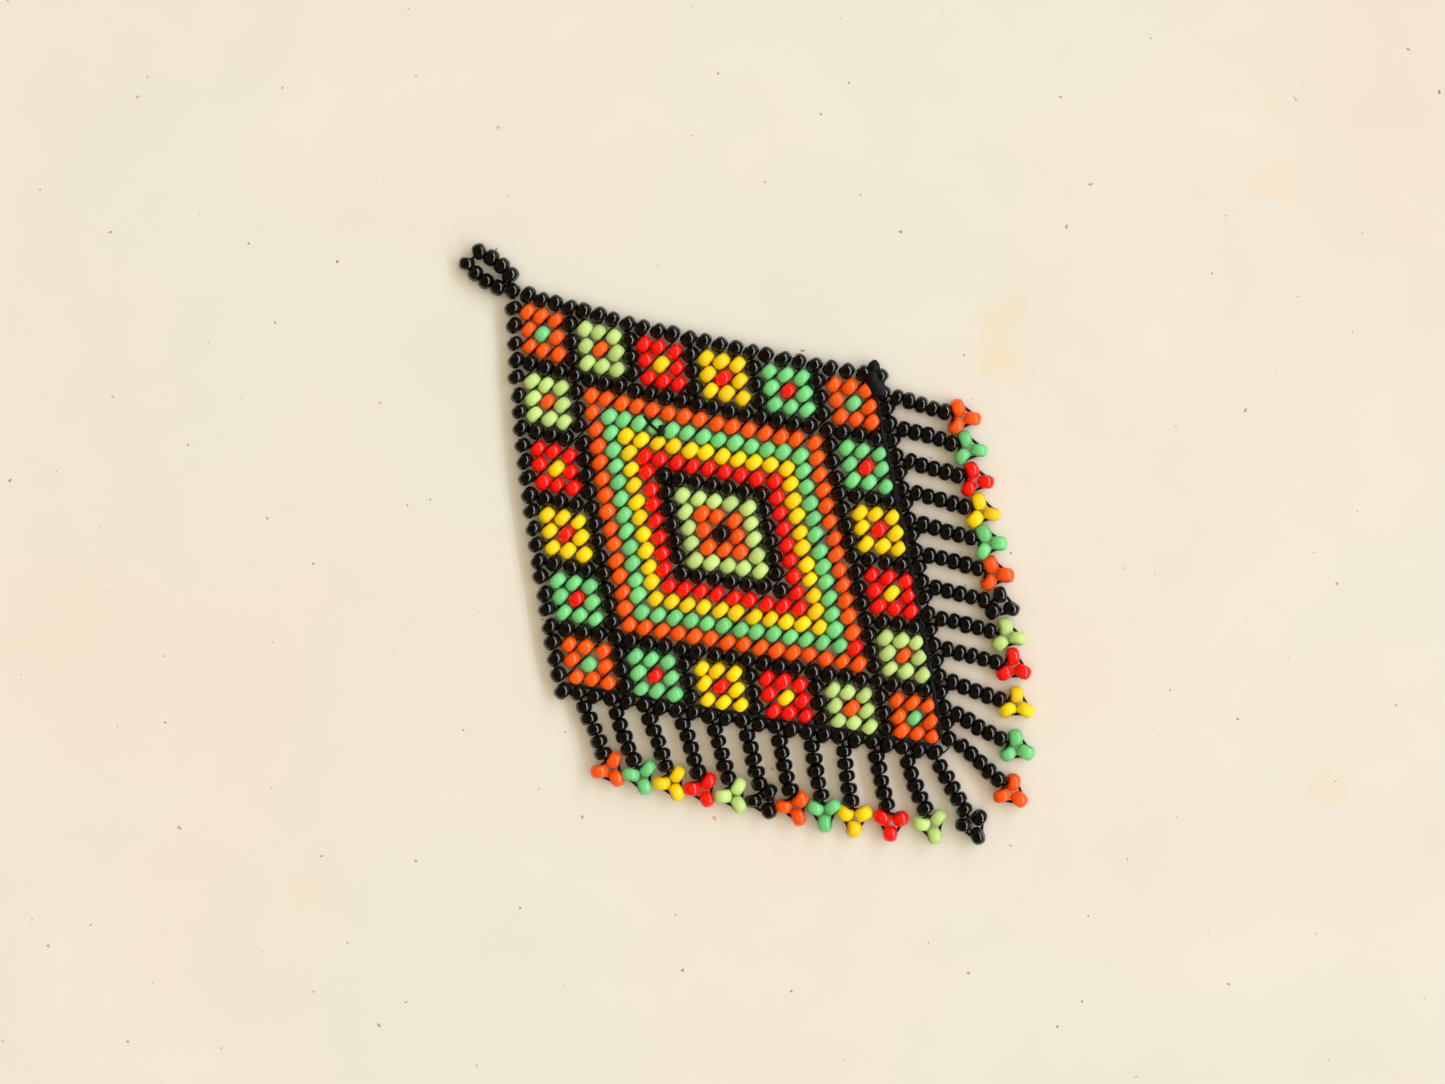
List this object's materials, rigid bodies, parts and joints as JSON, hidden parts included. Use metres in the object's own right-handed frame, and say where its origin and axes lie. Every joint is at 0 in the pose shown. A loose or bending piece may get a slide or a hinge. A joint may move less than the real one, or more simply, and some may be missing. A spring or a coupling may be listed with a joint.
{
  "type": "beaded diamond pendant",
  "caption": "Flat diamond pendant woven from glass seed beads in a concentric ring and flower pattern, with a bead hanging loop and a fringe of bead strands ending in three-bead tips.",
  "frame": {"origin": "on the surface the pendant lies on, under the middle bead of the diamond", "axes": "+X along the bead rows, +Y along the diamond's long axis towards the hanging loop, +Z out of the patterned front"},
  "size_m": [0.0661, 0.0986, 0.0034],
  "materials": {
    "black_glass": "glossy jet glass",
    "orange_glass": "glossy opaque seed-bead glass",
    "red_glass": "glossy opaque seed-bead glass",
    "yellow_glass": "glossy opaque seed-bead glass",
    "green_glass": "glossy opaque seed-bead glass",
    "pale_green_glass": "glossy opaque seed-bead glass",
    "woven_beads": "glossy opaque seed beads in six colours, woven in brick stitch",
    "thread": "waxed black thread"
  },
  "bodies": {
    "panel_band_1": {"panel_band_1": "woven_beads"},
    "panel_band_2": {"panel_band_2": "woven_beads"},
    "panel_band_3": {"panel_band_3": "woven_beads", "front_knot": "thread"},
    "panel_band_4": {"panel_band_4": "woven_beads"},
    "panel_band_5": {"panel_band_5": "woven_beads", "corner_knot": "thread"},
    "panel_band_6": {"panel_band_6": "woven_beads"},
    "panel_band_7": {"panel_band_7": "woven_beads"},
    "panel_band_8": {"panel_band_8": "woven_beads"},
    "hanging_loop": {"hanging_loop": "black_glass"},
    "left_strand_01": {"left_strand_01": "black_glass"},
    "left_tip_01": {"left_tip_01": "orange_glass"},
    "left_strand_02": {"left_strand_02": "black_glass"},
    "left_tip_02": {"left_tip_02": "green_glass"},
    "left_strand_03": {"left_strand_03": "black_glass"},
    "left_tip_03": {"left_tip_03": "yellow_glass"},
    "left_strand_04": {"left_strand_04": "black_glass"},
    "left_tip_04": {"left_tip_04": "red_glass"},
    "left_strand_05": {"left_strand_05": "black_glass"},
    "left_tip_05": {"left_tip_05": "pale_green_glass"},
    "left_strand_06": {"left_strand_06": "black_glass"},
    "left_tip_06": {"left_tip_06": "black_glass"},
    "left_strand_07": {"left_strand_07": "black_glass"},
    "left_tip_07": {"left_tip_07": "orange_glass"},
    "left_strand_08": {"left_strand_08": "black_glass"},
    "left_tip_08": {"left_tip_08": "green_glass"},
    "left_strand_09": {"left_strand_09": "black_glass"},
    "left_tip_09": {"left_tip_09": "yellow_glass"},
    "left_strand_10": {"left_strand_10": "black_glass"},
    "left_tip_10": {"left_tip_10": "red_glass"},
    "left_strand_11": {"left_strand_11": "black_glass"},
    "left_tip_11": {"left_tip_11": "pale_green_glass"},
    "left_strand_12": {"left_strand_12": "black_glass"},
    "left_tip_12": {"left_tip_12": "black_glass"},
    "right_strand_01": {"right_strand_01": "black_glass"},
    "right_tip_01": {"right_tip_01": "orange_glass"},
    "right_strand_02": {"right_strand_02": "black_glass"},
    "right_tip_02": {"right_tip_02": "green_glass"},
    "right_strand_03": {"right_strand_03": "black_glass"},
    "right_tip_03": {"right_tip_03": "red_glass"},
    "right_strand_04": {"right_strand_04": "black_glass"},
    "right_tip_04": {"right_tip_04": "yellow_glass"},
    "right_strand_05": {"right_strand_05": "black_glass"},
    "right_tip_05": {"right_tip_05": "green_glass"},
    "right_strand_06": {"right_strand_06": "black_glass"},
    "right_tip_06": {"right_tip_06": "orange_glass"},
    "right_strand_07": {"right_strand_07": "black_glass"},
    "right_tip_07": {"right_tip_07": "black_glass"},
    "right_strand_08": {"right_strand_08": "black_glass"},
    "right_tip_08": {"right_tip_08": "pale_green_glass"},
    "right_strand_09": {"right_strand_09": "black_glass"},
    "right_tip_09": {"right_tip_09": "red_glass"},
    "right_strand_10": {"right_strand_10": "black_glass"},
    "right_tip_10": {"right_tip_10": "yellow_glass"},
    "right_strand_11": {"right_strand_11": "black_glass"},
    "right_tip_11": {"right_tip_11": "green_glass"},
    "right_strand_12": {"right_strand_12": "black_glass"},
    "right_tip_12": {"right_tip_12": "orange_glass"}
  },
  "joints": [
    {"name": "fold_4_5", "type": "hinge", "parent": "panel_band_4", "child": "panel_band_5", "pos_m": [0, 0.00086, 0.0011], "axis": [-1, 0, 0], "range_deg": [0, 25]},
    {"name": "fold_5_6", "type": "hinge", "parent": "panel_band_5", "child": "panel_band_6", "pos_m": [0, -0.00942, 0.0011], "axis": [-1, 0, 0], "range_deg": [0, 25]},
    {"name": "fold_6_7", "type": "hinge", "parent": "panel_band_6", "child": "panel_band_7", "pos_m": [0, -0.01961, 0.0011], "axis": [-1, 0, 0], "range_deg": [0, 25]},
    {"name": "fold_7_8", "type": "hinge", "parent": "panel_band_7", "child": "panel_band_8", "pos_m": [0, -0.0296, 0.0011], "axis": [-1, 0, 0], "range_deg": [0, 25]},
    {"name": "fold_4_3", "type": "hinge", "parent": "panel_band_4", "child": "panel_band_3", "pos_m": [0, 0.01113, 0.0011], "axis": [1, 0, 0], "range_deg": [0, 25]},
    {"name": "fold_3_2", "type": "hinge", "parent": "panel_band_3", "child": "panel_band_2", "pos_m": [0, 0.02129, 0.0011], "axis": [1, 0, 0], "range_deg": [0, 25]},
    {"name": "fold_2_1", "type": "hinge", "parent": "panel_band_2", "child": "panel_band_1", "pos_m": [0, 0.03124, 0.0011], "axis": [1, 0, 0], "range_deg": [0, 25]},
    {"name": "loop_swing", "type": "hinge", "parent": "panel_band_1", "child": "hanging_loop", "pos_m": [0.00286, 0.04105, 0.0011], "axis": [1, 0, 0], "range_deg": [0, 45]},
    {"name": "left_strand_01_swing", "type": "hinge", "parent": "panel_band_5", "child": "left_strand_01", "pos_m": [-0.02731, -0.00271, 0.0011], "axis": [0.9272, -0.3746, 0], "range_deg": [-45, 0]},
    {"name": "left_tip_01_swing", "type": "hinge", "parent": "left_strand_01", "child": "left_tip_01", "pos_m": [-0.03031, -0.01013, 0.0011], "axis": [0.9272, -0.3746, 0], "range_deg": [-40, 0]},
    {"name": "left_strand_02_swing", "type": "hinge", "parent": "panel_band_5", "child": "left_strand_02", "pos_m": [-0.02489, -0.00614, 0.0011], "axis": [0.9153, -0.4027, 0], "range_deg": [-45, 0]},
    {"name": "left_tip_02_swing", "type": "hinge", "parent": "left_strand_02", "child": "left_tip_02", "pos_m": [-0.02811, -0.01346, 0.0011], "axis": [0.9153, -0.4027, 0], "range_deg": [-40, 0]},
    {"name": "left_strand_03_swing", "type": "hinge", "parent": "panel_band_5", "child": "left_strand_03", "pos_m": [-0.02244, -0.00957, 0.0011], "axis": [0.9026, -0.4305, 0], "range_deg": [-45, 0]},
    {"name": "left_tip_03_swing", "type": "hinge", "parent": "left_strand_03", "child": "left_tip_03", "pos_m": [-0.02588, -0.01679, 0.0011], "axis": [0.9026, -0.4305, 0], "range_deg": [-40, 0]},
    {"name": "left_strand_04_swing", "type": "hinge", "parent": "panel_band_6", "child": "left_strand_04", "pos_m": [-0.01998, -0.01298, 0.0011], "axis": [0.889, -0.4579, 0], "range_deg": [-45, 0]},
    {"name": "left_tip_04_swing", "type": "hinge", "parent": "left_strand_04", "child": "left_tip_04", "pos_m": [-0.02364, -0.02009, 0.0011], "axis": [0.889, -0.4579, 0], "range_deg": [-40, 0]},
    {"name": "left_strand_05_swing", "type": "hinge", "parent": "panel_band_6", "child": "left_strand_05", "pos_m": [-0.01752, -0.01638, 0.0011], "axis": [0.8746, -0.4848, 0], "range_deg": [-45, 0]},
    {"name": "left_tip_05_swing", "type": "hinge", "parent": "left_strand_05", "child": "left_tip_05", "pos_m": [-0.0214, -0.02338, 0.0011], "axis": [0.8746, -0.4848, 0], "range_deg": [-40, 0]},
    {"name": "left_strand_06_swing", "type": "hinge", "parent": "panel_band_6", "child": "left_strand_06", "pos_m": [-0.01506, -0.01976, 0.0011], "axis": [0.8594, -0.5113, 0], "range_deg": [-45, 0]},
    {"name": "left_tip_06_swing", "type": "hinge", "parent": "left_strand_06", "child": "left_tip_06", "pos_m": [-0.01915, -0.02664, 0.0011], "axis": [0.8594, -0.5113, 0], "range_deg": [-40, 0]},
    {"name": "left_strand_07_swing", "type": "hinge", "parent": "panel_band_7", "child": "left_strand_07", "pos_m": [-0.0126, -0.02313, 0.0011], "axis": [0.8434, -0.5373, 0], "range_deg": [-45, 0]},
    {"name": "left_tip_07_swing", "type": "hinge", "parent": "left_strand_07", "child": "left_tip_07", "pos_m": [-0.0169, -0.02987, 0.0011], "axis": [0.8434, -0.5373, 0], "range_deg": [-40, 0]},
    {"name": "left_strand_08_swing", "type": "hinge", "parent": "panel_band_7", "child": "left_strand_08", "pos_m": [-0.01016, -0.02647, 0.0011], "axis": [0.8266, -0.5628, 0], "range_deg": [-45, 0]},
    {"name": "left_tip_08_swing", "type": "hinge", "parent": "left_strand_08", "child": "left_tip_08", "pos_m": [-0.01466, -0.03308, 0.0011], "axis": [0.8266, -0.5628, 0], "range_deg": [-40, 0]},
    {"name": "left_strand_09_swing", "type": "hinge", "parent": "panel_band_7", "child": "left_strand_09", "pos_m": [-0.00774, -0.02978, 0.0011], "axis": [0.809, -0.5878, 0], "range_deg": [-45, 0]},
    {"name": "left_tip_09_swing", "type": "hinge", "parent": "left_strand_09", "child": "left_tip_09", "pos_m": [-0.01244, -0.03625, 0.0011], "axis": [0.809, -0.5878, 0], "range_deg": [-40, 0]},
    {"name": "left_strand_10_swing", "type": "hinge", "parent": "panel_band_8", "child": "left_strand_10", "pos_m": [-0.00534, -0.03306, 0.0011], "axis": [0.8466, -0.5322, 0], "range_deg": [-45, 0]},
    {"name": "left_tip_10_swing", "type": "hinge", "parent": "left_strand_10", "child": "left_tip_10", "pos_m": [-0.0096, -0.03983, 0.0011], "axis": [0.8466, -0.5322, 0], "range_deg": [-40, 0]},
    {"name": "left_strand_11_swing", "type": "hinge", "parent": "panel_band_8", "child": "left_strand_11", "pos_m": [-0.00298, -0.0363, 0.0011], "axis": [0.9055, -0.4244, 0], "range_deg": [-45, 0]},
    {"name": "left_tip_11_swing", "type": "hinge", "parent": "left_strand_11", "child": "left_tip_11", "pos_m": [-0.00637, -0.04355, 0.0011], "axis": [0.9055, -0.4244, 0], "range_deg": [-40, 0]},
    {"name": "left_strand_12_swing", "type": "hinge", "parent": "panel_band_8", "child": "left_strand_12", "pos_m": [-0.00065, -0.03951, 0.0011], "axis": [0.9613, -0.2756, 0], "range_deg": [-45, 0]},
    {"name": "left_tip_12_swing", "type": "hinge", "parent": "left_strand_12", "child": "left_tip_12", "pos_m": [-0.00286, -0.0472, 0.0011], "axis": [0.9613, -0.2756, 0], "range_deg": [-40, 0]},
    {"name": "right_strand_01_swing", "type": "hinge", "parent": "panel_band_5", "child": "right_strand_01", "pos_m": [0.02739, -0.00271, 0.0011], "axis": [0.8746, 0.4848, 0], "range_deg": [-45, 0]},
    {"name": "right_tip_01_swing", "type": "hinge", "parent": "right_strand_01", "child": "right_tip_01", "pos_m": [0.03127, -0.00971, 0.0011], "axis": [0.8746, 0.4848, 0], "range_deg": [-40, 0]},
    {"name": "right_strand_02_swing", "type": "hinge", "parent": "panel_band_5", "child": "right_strand_02", "pos_m": [0.02515, -0.00614, 0.0011], "axis": [0.8725, 0.4886, 0], "range_deg": [-45, 0]},
    {"name": "right_tip_02_swing", "type": "hinge", "parent": "right_strand_02", "child": "right_tip_02", "pos_m": [0.02906, -0.01312, 0.0011], "axis": [0.8725, 0.4886, 0], "range_deg": [-40, 0]},
    {"name": "right_strand_03_swing", "type": "hinge", "parent": "panel_band_5", "child": "right_strand_03", "pos_m": [0.02293, -0.00957, 0.0011], "axis": [0.8704, 0.4924, 0], "range_deg": [-45, 0]},
    {"name": "right_tip_03_swing", "type": "hinge", "parent": "right_strand_03", "child": "right_tip_03", "pos_m": [0.02687, -0.01653, 0.0011], "axis": [0.8704, 0.4924, 0], "range_deg": [-40, 0]},
    {"name": "right_strand_04_swing", "type": "hinge", "parent": "panel_band_6", "child": "right_strand_04", "pos_m": [0.02071, -0.01298, 0.0011], "axis": [0.8682, 0.4962, 0], "range_deg": [-45, 0]},
    {"name": "right_tip_04_swing", "type": "hinge", "parent": "right_strand_04", "child": "right_tip_04", "pos_m": [0.02468, -0.01992, 0.0011], "axis": [0.8682, 0.4962, 0], "range_deg": [-40, 0]},
    {"name": "right_strand_05_swing", "type": "hinge", "parent": "panel_band_6", "child": "right_strand_05", "pos_m": [0.01851, -0.01638, 0.0011], "axis": [0.866, 0.5, 0], "range_deg": [-45, 0]},
    {"name": "right_tip_05_swing", "type": "hinge", "parent": "right_strand_05", "child": "right_tip_05", "pos_m": [0.02251, -0.02331, 0.0011], "axis": [0.866, 0.5, 0], "range_deg": [-40, 0]},
    {"name": "right_strand_06_swing", "type": "hinge", "parent": "panel_band_6", "child": "right_strand_06", "pos_m": [0.0163, -0.01976, 0.0011], "axis": [0.8638, 0.5038, 0], "range_deg": [-45, 0]},
    {"name": "right_tip_06_swing", "type": "hinge", "parent": "right_strand_06", "child": "right_tip_06", "pos_m": [0.02033, -0.02667, 0.0011], "axis": [0.8638, 0.5038, 0], "range_deg": [-40, 0]},
    {"name": "right_strand_07_swing", "type": "hinge", "parent": "panel_band_7", "child": "right_strand_07", "pos_m": [0.01408, -0.02313, 0.0011], "axis": [0.8616, 0.5075, 0], "range_deg": [-45, 0]},
    {"name": "right_tip_07_swing", "type": "hinge", "parent": "right_strand_07", "child": "right_tip_07", "pos_m": [0.01814, -0.03002, 0.0011], "axis": [0.8616, 0.5075, 0], "range_deg": [-40, 0]},
    {"name": "right_strand_08_swing", "type": "hinge", "parent": "panel_band_7", "child": "right_strand_08", "pos_m": [0.01185, -0.02647, 0.0011], "axis": [0.8594, 0.5113, 0], "range_deg": [-45, 0]},
    {"name": "right_tip_08_swing", "type": "hinge", "parent": "right_strand_08", "child": "right_tip_08", "pos_m": [0.01595, -0.03334, 0.0011], "axis": [0.8594, 0.5113, 0], "range_deg": [-40, 0]},
    {"name": "right_strand_09_swing", "type": "hinge", "parent": "panel_band_7", "child": "right_strand_09", "pos_m": [0.00961, -0.02978, 0.0011], "axis": [0.8572, 0.515, 0], "range_deg": [-45, 0]},
    {"name": "right_tip_09_swing", "type": "hinge", "parent": "right_strand_09", "child": "right_tip_09", "pos_m": [0.01373, -0.03664, 0.0011], "axis": [0.8572, 0.515, 0], "range_deg": [-40, 0]},
    {"name": "right_strand_10_swing", "type": "hinge", "parent": "panel_band_8", "child": "right_strand_10", "pos_m": [0.00733, -0.03306, 0.0011], "axis": [0.9017, 0.4323, 0], "range_deg": [-45, 0]},
    {"name": "right_tip_10_swing", "type": "hinge", "parent": "right_strand_10", "child": "right_tip_10", "pos_m": [0.01079, -0.04027, 0.0011], "axis": [0.9017, 0.4323, 0], "range_deg": [-40, 0]},
    {"name": "right_strand_11_swing", "type": "hinge", "parent": "panel_band_8", "child": "right_strand_11", "pos_m": [0.00503, -0.0363, 0.0011], "axis": [0.9624, 0.2716, 0], "range_deg": [-45, 0]},
    {"name": "right_tip_11_swing", "type": "hinge", "parent": "right_strand_11", "child": "right_tip_11", "pos_m": [0.0072, -0.044, 0.0011], "axis": [0.9624, 0.2716, 0], "range_deg": [-40, 0]},
    {"name": "right_strand_12_swing", "type": "hinge", "parent": "panel_band_8", "child": "right_strand_12", "pos_m": [0.00268, -0.03951, 0.0011], "axis": [0.9986, 0.0523, 0], "range_deg": [-45, 0]},
    {"name": "right_tip_12_swing", "type": "hinge", "parent": "right_strand_12", "child": "right_tip_12", "pos_m": [0.0031, -0.0475, 0.0011], "axis": [0.9986, 0.0523, 0], "range_deg": [-40, 0]}
  ]
}
